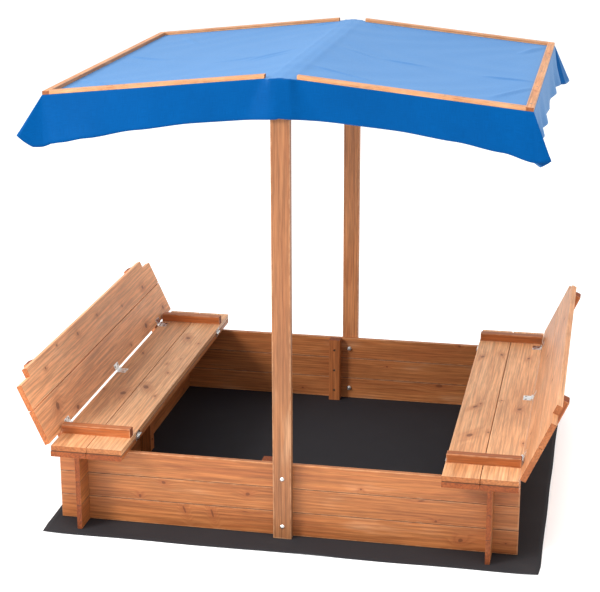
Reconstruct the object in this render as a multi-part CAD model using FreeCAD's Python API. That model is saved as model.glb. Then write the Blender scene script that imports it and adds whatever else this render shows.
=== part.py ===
import FreeCAD, Part
import math
import os

# Wooden sandbox with two folding bench covers and a fabric canopy.
# Units are millimetres. X runs across the pit from bench to bench, Y runs along
# the benches from front to rear, Z is up. The origin is on the floor, under the
# middle of the box.

Vector = FreeCAD.Vector
ALONG_X = Vector(1, 0, 0)
ALONG_Y = Vector(0, 1, 0)
ALONG_Z = Vector(0, 0, 1)
SIDES = (("left", -1), ("right", 1))
ENDS = (("front", -1), ("rear", 1))

# Ground sheet: laid a little off centre, to the right.
sheet_thick = 1.5
sheet_left = -624.5
sheet_right = 660.5
sheet_half_y = 609.5
sheet_corner = 12.0

# Walls: three boards high, crossing at the corners in half laps.
board_thick = 12.5
course_height = 66.2
courses = 3
wall_outer_y = 510.0
wall_outer_x = 536.0
end_board_half = 600.0
side_board_half = 576.0
lap_play = 0.6
arris = 1.5

# Battens that tie the three courses together, one in the middle of each wall.
batten_width = 34.0
batten_thick = 30.0
end_batten_x = -43.0
side_batten_y = -30.0

# Posts, bolted to the outside of the front and rear walls.
post_width = 48.0
post_thick = 21.0
post_top = 1189.0
bolt_heights = (34.5, 166.5)
bolt_radius = 3.0
bolt_hole_radius = 3.25
bolt_head_radius = 6.0
bolt_head_height = 3.5
washer_radius = 6.5
washer_thick = 1.5
nut_flats = 10.0
nut_height = 5.0
bolt_end_play = 3.0

# Bench: a fixed base panel, a folding seat on it and a folding back.
bench_inner = 410.0
bench_outer = 600.0
base_half_y = 575.5
bench_half_y = 573.5
panel_gap = 2.0
base_thick = 15.0
seat_lift = 0.3
seat_thick = 14.4
seat_outer = 599.4
seat_cleat_inner = 412.0
seat_cleat_y = (465.0, 490.0)
seat_cleat_height = 24.0
back_thick = 15.0
back_height = 194.0
back_lean = 24.2
notch_depth = 66.5
notch_height = 24.5
back_cleat_y = (421.0, 459.0)
back_cleat_thick = 16.5
back_cleat_tail = 30.0
cleat_arris = 3.0

# Butt hinges: two under each seat, three behind it.
seat_hinge_places = (-430.0, 430.0)
back_hinge_places = (-430.0, 0.0, 430.0)
hinge_length = 34.0
barrel_radius = 2.5
axis_height = 2.8
leaf_thick = 1.0
pin_radius = 1.2
pin_play = 0.06
knuckle_play = 0.3
edge_leaf_width = 11.0
seat_leaf_width = 24.0
back_leaf_width = 20.0
seat_edge_to_axis = -2.6
back_edge_to_axis = 3.7
edge_leaf_screw_reach = 6.8
seat_leaf_screw_reach = 17.0
back_leaf_screw_reach = 13.0

# Canopy: a low gable on rafters, cloth over it, strips on top.
roof_pitch = 5.92
ridge_top = 1201.4
strip_thick = 8.8
strip_width = 18.5
cloth_thick = 2.0
rafter_depth = 35.0
rafter_thick = 21.0
frame_half_x = 594.2
frame_half_y = 520.5
strip_start = 39.4
cloth_play = 0.3
skirt_drop = 105.0
skirt_flare = 20.0

# Countersunk wood screws.
screw_head_radius = 3.5
screw_head_depth = 2.2
screw_radius = 1.75
screw_tip = 3.0
base_screw_length = 32.0
seat_cleat_screw_length = 32.0
leaf_screw_length = 12.0
batten_screw_cover = 3.0
back_cleat_screw_cover = 4.0
cleat_screw_shares = (0.13, 0.38, 0.62, 0.87)
strip_screw_shares = (0.06, 0.35, 0.65, 0.94)
strip_screw_bite = 16.0
eave_screw_steps = (-2, -1, 0, 1, 2)
eave_screw_pitch = 234.7
rafter_screw_x = 17.0
ridge_screw_x = 5.5
rafter_screw_rise = 9.0
post_bite = 7.0
end_grain_bite = 20.0

wall_foot = sheet_thick
wall_top = wall_foot + courses * course_height
wall_inner_y = wall_outer_y - board_thick
wall_inner_x = wall_outer_x - board_thick
post_outer_y = wall_outer_y + post_thick
post_half_x = post_width / 2
base_top = wall_top + base_thick
seat_bottom = base_top + seat_lift
seat_top = seat_bottom + seat_thick
bench_middle = (bench_inner + bench_outer) / 2
seat_axis_x = bench_inner - axis_height
seat_axis_z = base_top + seat_lift / 2
back_axis_x = seat_outer + seat_edge_to_axis
back_axis_z = seat_top + axis_height
slope = math.tan(math.radians(roof_pitch))
slant = math.cos(math.radians(roof_pitch))
cloth_depth = strip_thick + cloth_thick
frame_inner_y = frame_half_y - rafter_thick


def block(x0, x1, y0, y1, z0, z1):
    """Box between two corners, given in any order."""
    low = Vector(min(x0, x1), min(y0, y1), min(z0, z1))
    return Part.makeBox(abs(x1 - x0), abs(y1 - y0), abs(z1 - z0), low)


def softened(shape, along, radius=arris):
    """The shape with its straight edges along one axis rounded."""
    picked = []
    for edge in shape.Edges:
        run = edge.Vertexes[-1].Point - edge.Vertexes[0].Point
        if run.Length > radius and abs(run.normalize().dot(along)) > 0.999:
            picked.append(edge)
    return shape.makeFillet(radius, picked)


def on_side(shape, sign):
    """A right-hand shape as it is, or mirrored to the left-hand side."""
    if sign > 0:
        return shape
    return shape.mirror(Vector(0, 0, 0), ALONG_X)


def without(shape, tools):
    """The shape with every tool that reaches into it cut away."""
    near = [tool for tool in tools if tool.BoundBox.intersect(shape.BoundBox)]
    return shape.cut(near) if near else shape


def group(shapes):
    """Separate solids kept together as one node."""
    solids = []
    for shape in shapes:
        solids.extend(shape.Solids)
    return Part.makeCompound(solids)


def turned(shape, from_z_to, at):
    """A shape made along +Z, turned to a direction and moved to a point."""
    placed = shape.copy()
    placed.Placement = FreeCAD.Placement(at, FreeCAD.Rotation(ALONG_Z, from_z_to))
    return placed


def screw(head, direction, length):
    """Countersunk screw: the head's flat face at a point, driven in a direction."""
    outline = [
        Vector(0, 0, 0),
        Vector(screw_head_radius, 0, 0),
        Vector(screw_radius, 0, screw_head_depth),
        Vector(screw_radius, 0, length - screw_tip),
        Vector(0, 0, length),
        Vector(0, 0, 0),
    ]
    face = Part.Face(Part.makePolygon(outline))
    return turned(face.revolve(Vector(0, 0, 0), ALONG_Z, 360), direction, head)


# ---- Ground sheet and walls ----

def ground_sheet():
    """Flat sheet with its four corners rounded."""
    sheet = block(sheet_left, sheet_right, -sheet_half_y, sheet_half_y, 0, sheet_thick)
    upright = [edge for edge in sheet.Edges if abs(edge.Length - sheet_thick) < 1e-6]
    return sheet.makeFillet(sheet_corner, upright)


def end_board(sign, course):
    """Front or rear wall board, lapped in its upper half."""
    foot = wall_foot + course * course_height
    top = foot + course_height
    inner = sign * wall_inner_y
    outer = sign * wall_outer_y
    board = softened(block(-end_board_half, end_board_half, inner, outer, foot, top), ALONG_X)
    slot_in = wall_inner_x - lap_play / 2
    slot_out = wall_outer_x + lap_play / 2
    for side in (-1, 1):
        middle = (foot + top) / 2
        board = board.cut(block(side * slot_in, side * slot_out, inner, outer, middle, top))
    return board


def side_board(sign, course):
    """Left or right wall board, lapped in its lower half."""
    foot = wall_foot + course * course_height
    top = foot + course_height
    inner = sign * wall_inner_x
    outer = sign * wall_outer_x
    board = softened(block(inner, outer, -side_board_half, side_board_half, foot, top), ALONG_Y)
    slot_in = wall_inner_y - lap_play / 2
    slot_out = wall_outer_y + lap_play / 2
    for end in (-1, 1):
        middle = (foot + top) / 2
        board = board.cut(block(inner, outer, end * slot_in, end * slot_out, foot, middle))
    return board


def wall_battens():
    """Four upright battens, one inside each wall."""
    battens = []
    x0 = end_batten_x - batten_width / 2
    y0 = side_batten_y - batten_width / 2
    for sign in (-1, 1):
        near = sign * wall_inner_y
        far = sign * (wall_inner_y - batten_thick)
        battens.append(block(x0, x0 + batten_width, near, far, wall_foot, wall_top))
    for sign in (-1, 1):
        near = sign * wall_inner_x
        far = sign * (wall_inner_x - batten_thick)
        battens.append(block(near, far, y0, y0 + batten_width, wall_foot, wall_top))
    return [softened(batten, ALONG_Z) for batten in battens]


def batten_screws():
    """Three screws through each batten, one into each course."""
    screws = []
    length = batten_thick + board_thick - batten_screw_cover
    for course in range(courses):
        height = wall_foot + (course + 0.5) * course_height
        for sign in (-1, 1):
            at_end = Vector(end_batten_x, sign * (wall_inner_y - batten_thick), height)
            screws.append(screw(at_end, Vector(0, sign, 0), length))
            at_side = Vector(sign * (wall_inner_x - batten_thick), side_batten_y, height)
            screws.append(screw(at_side, Vector(sign, 0, 0), length))
    return screws


# ---- Posts and their bolts ----

def post(sign):
    """Post with its head halved for the rafters."""
    whole = block(-post_half_x, post_half_x, sign * wall_outer_y, sign * post_outer_y,
                  wall_foot, post_top)
    whole = softened(whole, ALONG_Z)
    shoulder = roof_height(post_half_x, cloth_depth + rafter_depth)
    halving = block(-post_width, post_width, sign * wall_inner_y, sign * frame_half_y,
                    shoulder, post_top + post_width)
    return whole.cut(halving)


def bolt_hole(sign, height):
    reach = post_outer_y - wall_inner_y
    start = Vector(0, sign * wall_inner_y, height)
    return Part.makeCylinder(bolt_hole_radius, reach, start, Vector(0, sign, 0))


def post_bolt(sign, height):
    """Bolt with a domed head on the post's face."""
    sphere = (bolt_head_radius ** 2 + bolt_head_height ** 2) / (2 * bolt_head_height)
    sunk = sphere - bolt_head_height
    latitude = math.degrees(math.asin(sunk / sphere))
    dome = Part.makeSphere(sphere, Vector(0, 0, -sunk), ALONG_Z, latitude, 90, 360)
    length = post_thick + board_thick + washer_thick + nut_height + bolt_end_play
    shank = Part.makeCylinder(bolt_radius, length, Vector(0, 0, -length))
    face = Vector(0, sign * post_outer_y, height)
    return turned(dome.fuse(shank).removeSplitter(), Vector(0, sign, 0), face)


def post_washer(sign, height):
    disc = Part.makeCylinder(washer_radius, washer_thick)
    ring = disc.cut(Part.makeCylinder(bolt_hole_radius, washer_thick))
    return turned(ring, Vector(0, -sign, 0), Vector(0, sign * wall_inner_y, height))


def post_nut(sign, height):
    """Hexagon nut with its corners turned off."""
    corner = nut_flats / 2 / math.cos(math.radians(30))
    rim = []
    for step in range(7):
        angle = math.radians(60 * step)
        rim.append(Vector(corner * math.cos(angle), corner * math.sin(angle), 0))
    prism = Part.Face(Part.makePolygon(rim)).extrude(Vector(0, 0, nut_height))
    cone = Part.makeCone(corner + nut_height, nut_flats / 2, corner + nut_height - nut_flats / 2)
    cone.translate(Vector(0, 0, nut_height - cone.BoundBox.ZMax))
    nut = prism.common(cone).cut(Part.makeCylinder(bolt_radius, nut_height))
    face = sign * (wall_inner_y - washer_thick)
    return turned(nut, Vector(0, -sign, 0), Vector(0, face, height))


# ---- Benches, all made for the right-hand side ----

def panel_boards(inner, outer, half_y, bottom, thick):
    """Two boards side by side, along the bench."""
    middle = (inner + outer) / 2
    spans = ((inner, middle - panel_gap / 2), (middle + panel_gap / 2, outer))
    boards = []
    for start, stop in spans:
        raw = block(start, stop, -half_y, half_y, bottom, bottom + thick)
        boards.append(softened(raw, ALONG_Y))
    return boards


def base_screws():
    """Screws through the base boards into the tops of the end walls."""
    screws = []
    wall_middle = wall_outer_y - board_thick / 2
    quarter = (bench_outer - bench_inner) / 4
    for x in (bench_middle - quarter, bench_middle + quarter):
        for sign in (-1, 1):
            place = Vector(x, sign * wall_middle, base_top)
            screws.append(screw(place, -ALONG_Z, base_screw_length))
    return screws


def seat_cleats():
    """Two cleats across the top of the seat; they drop inside the walls when shut."""
    cleats = []
    for sign in (-1, 1):
        raw = block(seat_cleat_inner, seat_outer, sign * seat_cleat_y[0],
                    sign * seat_cleat_y[1], seat_top, seat_top + seat_cleat_height)
        upper = [edge for edge in raw.Edges
                 if min(point.Z for point in edge.Vertexes) > seat_top + 1]
        cleats.append(raw.makeFillet(cleat_arris, upper))
    return cleats


def seat_cleat_screws():
    screws = []
    across = sum(seat_cleat_y) / 2
    width = bench_outer - bench_inner
    for share in cleat_screw_shares:
        for sign in (-1, 1):
            place = Vector(bench_inner + share * width, sign * across, seat_bottom)
            screws.append(screw(place, ALONG_Z, seat_cleat_screw_length))
    return screws


def leaned(shape):
    """Turn a back part from its own frame to where the back rests.

    In that frame the back hinge's axis is the origin, Z runs up the back and
    X runs from its front face to its rear face.
    """
    placed = shape.copy()
    placed.rotate(Vector(0, 0, 0), ALONG_Y, back_lean)
    placed.translate(Vector(back_axis_x, 0, back_axis_z))
    return placed


def back_boards():
    """Lower and upper board; the upper one is notched to pass the posts."""
    front = axis_height
    rear = front + back_thick
    low = back_edge_to_axis
    top = low + back_height
    middle = (low + top) / 2
    boards = []
    for start, stop in ((low, middle - panel_gap / 2), (middle + panel_gap / 2, top)):
        raw = block(front, rear, -bench_half_y, bench_half_y, start, stop)
        boards.append(softened(raw, ALONG_Y))
    for sign in (-1, 1):
        notch = block(front - 1, rear + 1, sign * (bench_half_y - notch_depth),
                      sign * (bench_half_y + 1), top - notch_height, top + 1)
        boards[1] = boards[1].cut(notch)
    return [leaned(board) for board in boards]


def back_cleats():
    """Two cleats behind the back; their tails bear on the seat when it is flat."""
    cleats = []
    front = axis_height + back_thick
    rear = front + back_cleat_thick
    low = back_edge_to_axis - back_cleat_tail
    top = back_edge_to_axis + back_height
    for sign in (-1, 1):
        raw = block(front, rear, sign * back_cleat_y[0], sign * back_cleat_y[1], low, top)
        outer = [edge for edge in raw.Edges
                 if min(point.X for point in edge.Vertexes) > front + 1]
        cleats.append(leaned(raw.makeFillet(cleat_arris, outer)))
    return cleats


def back_cleat_screws():
    screws = []
    across = sum(back_cleat_y) / 2
    rear = axis_height + back_thick + back_cleat_thick
    for share in cleat_screw_shares:
        for sign in (-1, 1):
            place = Vector(rear, sign * across, back_edge_to_axis + share * back_height)
            length = back_cleat_thick + back_thick - back_cleat_screw_cover
            screws.append(leaned(screw(place, -ALONG_X, length)))
    return screws


# ---- Hinges, made with the axis along Y through the origin and the leaves flat ----

def hinge_leaf(way, width, is_middle):
    """One leaf lying below the axis, to one side of it, with its knuckles.

    The middle leaf has the one long knuckle, the other leaf has the two outer ones.
    """
    third = hinge_length / 6
    outer = hinge_length / 2
    if is_middle:
        spans = ((-third, third),)
        gaps = ((-outer, -third - knuckle_play), (third + knuckle_play, outer))
    else:
        spans = ((-outer, -third - knuckle_play), (third + knuckle_play, outer))
        gaps = ((-third - knuckle_play, third + knuckle_play),)
    plate = block(0, way * width, -outer, outer, -axis_height, -axis_height + leaf_thick)
    for start, stop in gaps:
        reach = way * (barrel_radius + knuckle_play)
        plate = plate.cut(block(-reach, reach, start, stop, -axis_height - 1, axis_height))
    bore = pin_radius + (pin_play if is_middle else 0)
    for start, stop in spans:
        knuckle = Part.makeCylinder(barrel_radius, stop - start, Vector(0, start, 0), ALONG_Y)
        plate = plate.fuse(knuckle)
    plate = plate.cut(Part.makeCylinder(bore, hinge_length, Vector(0, -outer, 0), ALONG_Y))
    return plate.removeSplitter()


def hinge_pin():
    return Part.makeCylinder(pin_radius, hinge_length, Vector(0, -hinge_length / 2, 0), ALONG_Y)


def leaf_screws(way, reach):
    """Two screws down through one leaf."""
    screws = []
    for y in (-hinge_length / 3, hinge_length / 3):
        head = Vector(way * reach, y, -axis_height + leaf_thick)
        screws.append(screw(head, -ALONG_Z, leaf_screw_length))
    return screws


def at_seat_axis(shape, y):
    """Place a hinge part on the bench's inner edge, its leaves upright."""
    placed = shape.copy()
    placed.rotate(Vector(0, 0, 0), ALONG_Y, -90)
    placed.translate(Vector(seat_axis_x, y, seat_axis_z))
    return placed


def at_back_axis(shape, y, turn=0.0):
    """Place a hinge part on the seat's outer edge, turned up with the back."""
    placed = shape.copy()
    placed.rotate(Vector(0, 0, 0), ALONG_Y, turn)
    placed.translate(Vector(back_axis_x, y, back_axis_z))
    return placed


# ---- Canopy ----

def roof_height(x, depth):
    """Height of the roof plane, a depth below the strips' top faces."""
    return ridge_top - depth / slant - slope * abs(x)


def sloped_bar(sign, start, stop, y0, y1, top_depth, bottom_depth):
    """Bar down one slope of the roof, between two depths below its top plane."""
    outline = [
        Vector(sign * start, y0, roof_height(start, top_depth)),
        Vector(sign * stop, y0, roof_height(stop, top_depth)),
        Vector(sign * stop, y0, roof_height(stop, bottom_depth)),
        Vector(sign * start, y0, roof_height(start, bottom_depth)),
        Vector(sign * start, y0, roof_height(start, top_depth)),
    ]
    face = Part.Face(Part.makePolygon(outline))
    return face.extrude(Vector(0, y1 - y0, 0))


def rafter(side, end):
    """Rafter from the ridge to the eave, in the post's halving."""
    return sloped_bar(side, 0, frame_half_x, end * frame_inner_y, end * frame_half_y,
                      cloth_depth, cloth_depth + rafter_depth)


def eave_bar(side):
    return sloped_bar(side, frame_half_x - rafter_thick, frame_half_x,
                      -frame_inner_y, frame_inner_y, cloth_depth, cloth_depth + rafter_depth)


def ridge_beam():
    """Beam between the rafters, its top shaped to both slopes."""
    half = rafter_thick / 2
    bottom = roof_height(0, cloth_depth + rafter_depth)
    shoulder = roof_height(half, cloth_depth)
    outline = [
        Vector(-half, -frame_inner_y, bottom),
        Vector(half, -frame_inner_y, bottom),
        Vector(half, -frame_inner_y, shoulder),
        Vector(0, -frame_inner_y, roof_height(0, cloth_depth)),
        Vector(-half, -frame_inner_y, shoulder),
        Vector(-half, -frame_inner_y, bottom),
    ]
    face = Part.Face(Part.makePolygon(outline))
    return face.extrude(Vector(0, 2 * frame_inner_y, 0))


def sloped_strips():
    """Strips over the rafters; they stop short of the post's head."""
    strips = []
    for side in (-1, 1):
        for end in (-1, 1):
            strip = sloped_bar(side, strip_start, frame_half_x - strip_width,
                               end * (frame_half_y - strip_width), end * frame_half_y,
                               0, strip_thick)
            strips.append(strip)
    return strips


def eave_strips():
    """Strips along both eaves, running out to the corners."""
    return [sloped_bar(side, frame_half_x - strip_width, frame_half_x,
                       -frame_half_y, frame_half_y, 0, strip_thick) for side in (-1, 1)]


def tent(inset, top_depth, drop):
    """Closed gable form whose four skirts lean outwards to their hems."""
    lean = skirt_flare / (skirt_drop - strip_thick)
    half_x = frame_half_x + cloth_play + cloth_thick - inset
    half_y = frame_half_y + cloth_play + cloth_thick - inset
    peak = roof_height(0, top_depth)
    hem = ridge_top - drop
    spread = lean * (peak - hem)
    top = {}
    low = {}
    for end in (-1, 1):
        for side in (-1, 0, 1):
            x_top = side * half_x
            x_low = side * (half_x + spread)
            y_low = end * (half_y + spread)
            top[side, end] = Vector(x_top, end * half_y, peak - slope * abs(x_top))
            low[side, end] = Vector(x_low, y_low, hem - slope * abs(x_low))
    loops = []
    for side in (-1, 1):
        loops.append([top[0, -1], top[side, -1], top[side, 1], top[0, 1]])
        loops.append([low[0, -1], low[side, -1], low[side, 1], low[0, 1]])
        loops.append([top[side, -1], top[side, 1], low[side, 1], low[side, -1]])
        for end in (-1, 1):
            loops.append([top[0, end], top[side, end], low[side, end], low[0, end]])
    faces = [Part.Face(Part.makePolygon(loop + loop[:1])) for loop in loops]
    form = Part.Solid(Part.makeShell(faces))
    return form if form.Volume > 0 else form.reversed()


def canopy_cloth():
    """The cloth: two slopes, four skirts and a small rise over each post's head."""
    cloth = tent(0, strip_thick, skirt_drop)
    hollow = tent(cloth_thick, cloth_depth, skirt_drop + 4 * cloth_thick)
    for end in (-1, 1):
        inner_half = post_half_x + cloth_play
        outer_half = inner_half + cloth_thick
        face = post_outer_y + cloth_play
        rise = block(-outer_half, outer_half, end * (frame_half_y - cloth_play - cloth_thick),
                     end * (face + cloth_thick), ridge_top - skirt_drop,
                     post_top + cloth_play + cloth_thick)
        room = block(-inner_half, inner_half, end * (frame_half_y - cloth_play),
                     end * face, ridge_top - 2 * skirt_drop, post_top + cloth_play)
        cloth = cloth.fuse(rise)
        hollow = hollow.fuse(room)
    return cloth.cut(hollow).removeSplitter()


def strip_screws():
    """Screws down through the strips and the cloth into the frame."""
    screws = []
    length = strip_thick + cloth_thick + strip_screw_bite
    strip_run = frame_half_x - strip_width - strip_start
    along = frame_half_y - strip_width / 2
    for side in (-1, 1):
        down = Vector(-side * slope, 0, -1).normalize()
        for end in (-1, 1):
            for share in strip_screw_shares:
                x = strip_start + share * strip_run
                head = Vector(side * x, end * along, roof_height(x, 0))
                screws.append(screw(head, down, length))
        for step in eave_screw_steps:
            x = frame_half_x - strip_width / 2
            head = Vector(side * x, step * eave_screw_pitch, roof_height(x, 0))
            screws.append(screw(head, down, length))
    return screws


def frame_joint_screws():
    """Screws that hold rafters to posts, eave bars and the ridge beam."""
    screws = []
    middle = cloth_depth + rafter_depth / 2
    for side in (-1, 1):
        for end in (-1, 1):
            into_post = Vector(0, end, 0)
            for rise in (-rafter_screw_rise, rafter_screw_rise):
                height = roof_height(rafter_screw_x, middle) + rise
                place = Vector(side * rafter_screw_x, end * frame_inner_y, height)
                screws.append(screw(place, into_post, rafter_thick + post_bite))
                x = frame_half_x - rafter_thick / 2
                place = Vector(side * x, end * frame_half_y, roof_height(x, middle) + rise)
                screws.append(screw(place, -into_post, rafter_thick + end_grain_bite))
            height = roof_height(ridge_screw_x, middle)
            place = Vector(side * ridge_screw_x, end * frame_half_y, height)
            screws.append(screw(place, -into_post, rafter_thick + end_grain_bite))
    return screws


# ---- The whole assembly ----

def add_walls(nodes):
    fixings = batten_screws()
    for name, sign in SIDES:
        fixings.extend(on_side(each, sign) for each in base_screws())
    holes = [bolt_hole(sign, z) for sign in (-1, 1) for z in bolt_heights]
    for course in range(courses):
        for name, sign in ENDS:
            board = without(end_board(sign, course), fixings + holes)
            nodes[f"{name}_wall_board_{course + 1}"] = board
        for name, sign in SIDES:
            board = without(side_board(sign, course), fixings)
            nodes[f"{name}_wall_board_{course + 1}"] = board
    nodes["wall_battens"] = group(without(each, fixings) for each in wall_battens())


def add_posts(nodes):
    places = [(sign, z) for sign in (-1, 1) for z in bolt_heights]
    holes = [bolt_hole(sign, z) for sign, z in places]
    for name, sign in ENDS:
        nodes[f"{name}_post"] = without(post(sign), holes + frame_joint_screws())
    nodes["post_bolts"] = group(post_bolt(sign, z) for sign, z in places)
    nodes["post_washers"] = group(post_washer(sign, z) for sign, z in places)
    nodes["post_nuts"] = group(post_nut(sign, z) for sign, z in places)


def add_bench(nodes, name, sign):
    """Base panel, seat, back and their hinges on one side; returns the fixed screws."""
    fixed_leaf = hinge_leaf(-1, edge_leaf_width, False)
    seat_edge_leaf = hinge_leaf(1, edge_leaf_width, True)
    seat_top_leaf = hinge_leaf(-1, seat_leaf_width, False)
    back_leaf = hinge_leaf(1, back_leaf_width, True)
    back_turn = back_lean - 90
    leaves = {"base": [], "seat_edge": [], "seat_top": [], "back": []}
    fixed = base_screws()
    seat_fixings = seat_cleat_screws()
    back_fixings = back_cleat_screws()
    for y in seat_hinge_places:
        leaves["base"] += [at_seat_axis(fixed_leaf, y), at_seat_axis(hinge_pin(), y)]
        leaves["seat_edge"] += [at_seat_axis(seat_edge_leaf, y)]
        fixed += [at_seat_axis(each, y) for each in leaf_screws(-1, edge_leaf_screw_reach)]
        seat_fixings += [at_seat_axis(each, y) for each in leaf_screws(1, edge_leaf_screw_reach)]
    for y in back_hinge_places:
        leaves["seat_top"] += [at_back_axis(seat_top_leaf, y), at_back_axis(hinge_pin(), y)]
        leaves["back"] += [at_back_axis(back_leaf, y, back_turn)]
        seat_fixings += [at_back_axis(each, y) for each in leaf_screws(-1, seat_leaf_screw_reach)]
        back_fixings += [at_back_axis(each, y, back_turn)
                         for each in leaf_screws(1, back_leaf_screw_reach)]
    every = fixed + seat_fixings + back_fixings

    def place(node, shapes):
        cut = [on_side(without(shape, every), sign) for shape in shapes]
        nodes[node] = cut[0] if len(cut) == 1 else group(cut)

    inner, outer = panel_boards(bench_inner, bench_outer, base_half_y, wall_top, base_thick)
    place(f"{name}_base_inner_board", [inner])
    place(f"{name}_base_outer_board", [outer])
    inner, outer = panel_boards(bench_inner, seat_outer, bench_half_y, seat_bottom, seat_thick)
    place(f"{name}_seat_inner_board", [inner])
    place(f"{name}_seat_outer_board", [outer])
    place(f"{name}_seat_cleats", seat_cleats())
    lower, upper = back_boards()
    place(f"{name}_back_lower_board", [lower])
    place(f"{name}_back_upper_board", [upper])
    place(f"{name}_back_cleats", back_cleats())
    place(f"{name}_seat_hinge_fixed_leaves", leaves["base"])
    place(f"{name}_seat_hinge_moving_leaves", leaves["seat_edge"])
    place(f"{name}_back_hinge_seat_leaves", leaves["seat_top"])
    place(f"{name}_back_hinge_back_leaves", leaves["back"])
    nodes[f"{name}_seat_screws"] = group(on_side(each, sign) for each in seat_fixings)
    nodes[f"{name}_back_screws"] = group(on_side(each, sign) for each in back_fixings)
    return [on_side(each, sign) for each in fixed]


def add_canopy(nodes):
    fixings = strip_screws() + frame_joint_screws()
    for side_name, side in SIDES:
        for end_name, end in ENDS:
            bar = without(rafter(side, end), fixings)
            nodes[f"{end_name}_{side_name}_rafter"] = bar
        nodes[f"{side_name}_eave_bar"] = without(eave_bar(side), fixings)
    nodes["ridge_beam"] = without(ridge_beam(), fixings)
    nodes["canopy_cloth"] = without(canopy_cloth(), fixings)
    nodes["canopy_sloped_strips"] = group(without(each, fixings) for each in sloped_strips())
    nodes["canopy_eave_strips"] = group(without(each, fixings) for each in eave_strips())
    nodes["canopy_screws"] = group(fixings)


def build():
    nodes = {"ground_sheet": ground_sheet()}
    add_walls(nodes)
    add_posts(nodes)
    fixed = batten_screws()
    for name, sign in SIDES:
        fixed += add_bench(nodes, name, sign)
    nodes["frame_screws"] = group(fixed)
    add_canopy(nodes)
    return nodes


os.makedirs("parts", exist_ok=True)
for node_name, node_shape in build().items():
    node_shape.exportStep(f"parts/{node_name}.step")
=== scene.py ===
import math
import random
import bmesh
import bpy
import numpy as np
from mathutils import Matrix, Vector


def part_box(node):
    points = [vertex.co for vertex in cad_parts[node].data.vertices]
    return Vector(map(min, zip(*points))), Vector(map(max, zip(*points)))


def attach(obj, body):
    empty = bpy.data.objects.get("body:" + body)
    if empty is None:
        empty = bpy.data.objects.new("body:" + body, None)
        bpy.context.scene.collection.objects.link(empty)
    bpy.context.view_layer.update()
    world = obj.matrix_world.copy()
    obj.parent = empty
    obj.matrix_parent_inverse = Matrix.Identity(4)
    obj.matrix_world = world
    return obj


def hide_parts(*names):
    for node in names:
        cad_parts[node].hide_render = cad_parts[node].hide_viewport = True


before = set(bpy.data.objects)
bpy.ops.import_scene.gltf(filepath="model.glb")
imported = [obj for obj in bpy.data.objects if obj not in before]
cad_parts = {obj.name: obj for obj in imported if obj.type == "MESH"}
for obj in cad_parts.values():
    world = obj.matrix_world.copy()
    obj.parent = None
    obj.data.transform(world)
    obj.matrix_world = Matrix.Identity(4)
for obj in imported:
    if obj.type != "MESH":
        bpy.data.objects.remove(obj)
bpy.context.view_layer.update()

# Sizes are metres. The lengths here are cut sizes; places come from the frame.
BACK_LEAN = math.radians(24.2)
POST_HALF = 0.0245

# Roof: top of the strips at the ridge, and the strips that hold the cloth down.
ROOF_PITCH = math.radians(5.92)
RIDGE_TOP = 1.2014
STRIP_THICK = 0.0088
STRIP_WIDTH = 0.0185
STRIP_START = 0.0394

# Canopy cloth: its middle lies CLOTH_DEPTH below the strips' top faces.
CLOTH_DEPTH = STRIP_THICK + 0.001
CLOTH_THICK = 0.0007
HEM_THICK = 0.0017
HEM_WIDTH = 0.011
SKIRT_CUT = 0.088

# Two places closer than this are the same place.
NEAR = 1e-6

X_AXIS = Vector((1, 0, 0))
Y_AXIS = Vector((0, 1, 0))
Z_AXIS = Vector((0, 0, 1))
SIDE_WAY = {"left": -1, "right": 1}
END_WAY = {"front": -1, "rear": 1}

FLOAT = "NodeSocketFloat"
VECTOR = "NodeSocketVector"
COLOR = "NodeSocketColor"


def add_object(name, data):
    """New object in the scene for a mesh, a lamp or a camera."""
    made = bpy.data.objects.new(name, data)
    bpy.context.scene.collection.objects.link(made)
    return made


def grid_faces(count_x, count_y):
    """Faces of a grid of points that are counted along Y first."""
    return [(first, first + count_y, first + count_y + 1, first + 1)
            for column in range(count_x - 1)
            for first in range(column * count_y, (column + 1) * count_y - 1)]


# ---- Shader tree helpers ----

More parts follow.
